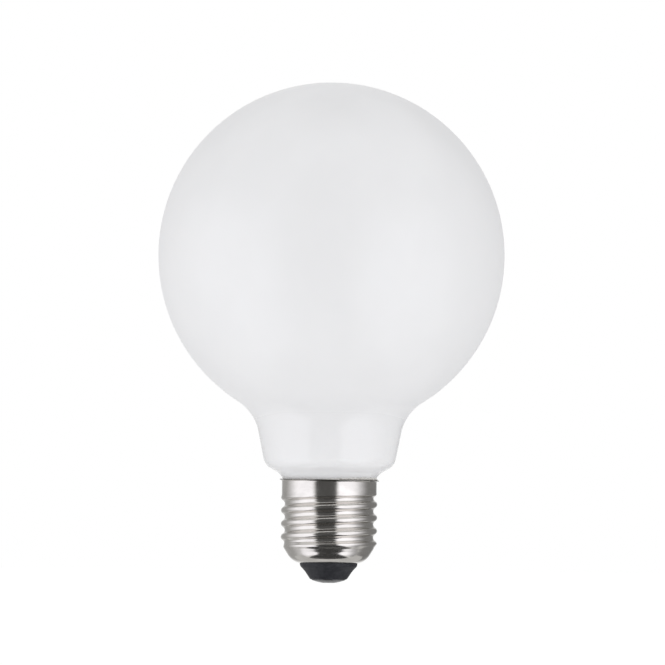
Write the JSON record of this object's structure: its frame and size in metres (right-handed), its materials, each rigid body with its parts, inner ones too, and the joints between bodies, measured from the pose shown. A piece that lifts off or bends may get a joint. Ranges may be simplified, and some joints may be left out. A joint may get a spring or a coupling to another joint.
{
  "type": "globe light bulb",
  "caption": "Opal globe light bulb with a tapered neck and a 27 mm screw cap with insulator and centre contact.",
  "frame": {"origin": "tip of the centre contact, on the lamp's axis", "axes": "+Z along the lamp's axis, from the cap to the globe; +X and +Y are square to it"},
  "size_m": [0.095, 0.095, 0.1373],
  "materials": {
    "opal_glass": "glossy opal white",
    "nickel_sheet": "bright nickel plate on drawn sheet",
    "cement": "matt, pale grey",
    "black_insulator": "satin black, moulded",
    "contact_metal": "plated, slightly dull"
  },
  "bodies": {
    "root": {"globe": "opal_glass", "screw_shell": "nickel_sheet", "cap_cement": "cement", "insulator": "black_insulator", "centre_contact": "contact_metal"}
  },
  "joints": []
}
